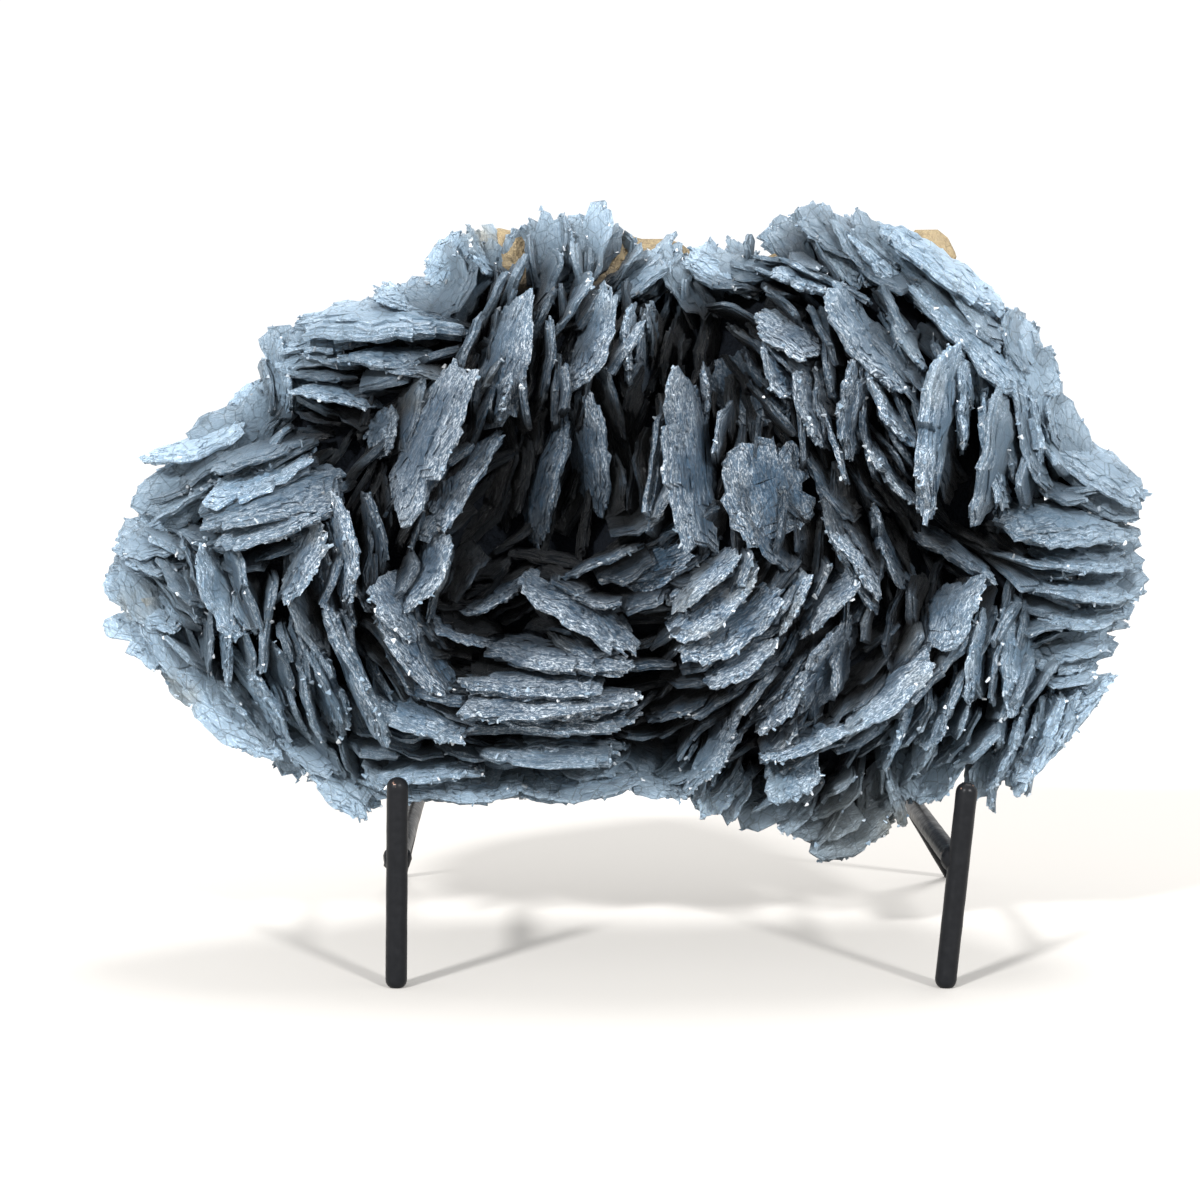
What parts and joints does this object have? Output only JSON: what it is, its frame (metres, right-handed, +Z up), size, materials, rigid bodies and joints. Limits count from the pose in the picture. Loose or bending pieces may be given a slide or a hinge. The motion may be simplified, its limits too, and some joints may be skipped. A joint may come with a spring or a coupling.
{
  "type": "barite crystal cluster on a rod stand",
  "caption": "Cluster of thin bladed blue barite crystals on tan matrix, resting on a low black welded rod stand with splayed rear legs.",
  "frame": {"origin": "middle of the object's bounding box, at floor level", "axes": "+X to the right seen from the front, +Y away from the front, +Z up"},
  "size_m": [0.2176, 0.1208, 0.1536],
  "materials": {
    "blue_barite": "steel-blue to grey vitreous blades, frosted pale along their rims, near-black navy in the recesses, tan matrix behind",
    "black_rod": "satin black enamel on steel rod, worn to bare metal at the tips"
  },
  "bodies": {
    "root": {"barite_cluster": "blue_barite", "front_post_left": "black_rod", "front_post_right": "black_rod", "seat_arm_left": "black_rod", "seat_arm_right": "black_rod", "rear_leg_left": "black_rod", "rear_leg_right": "black_rod", "back_upright_left": "black_rod", "back_upright_right": "black_rod", "rear_crossbar": "black_rod"}
  },
  "joints": []
}
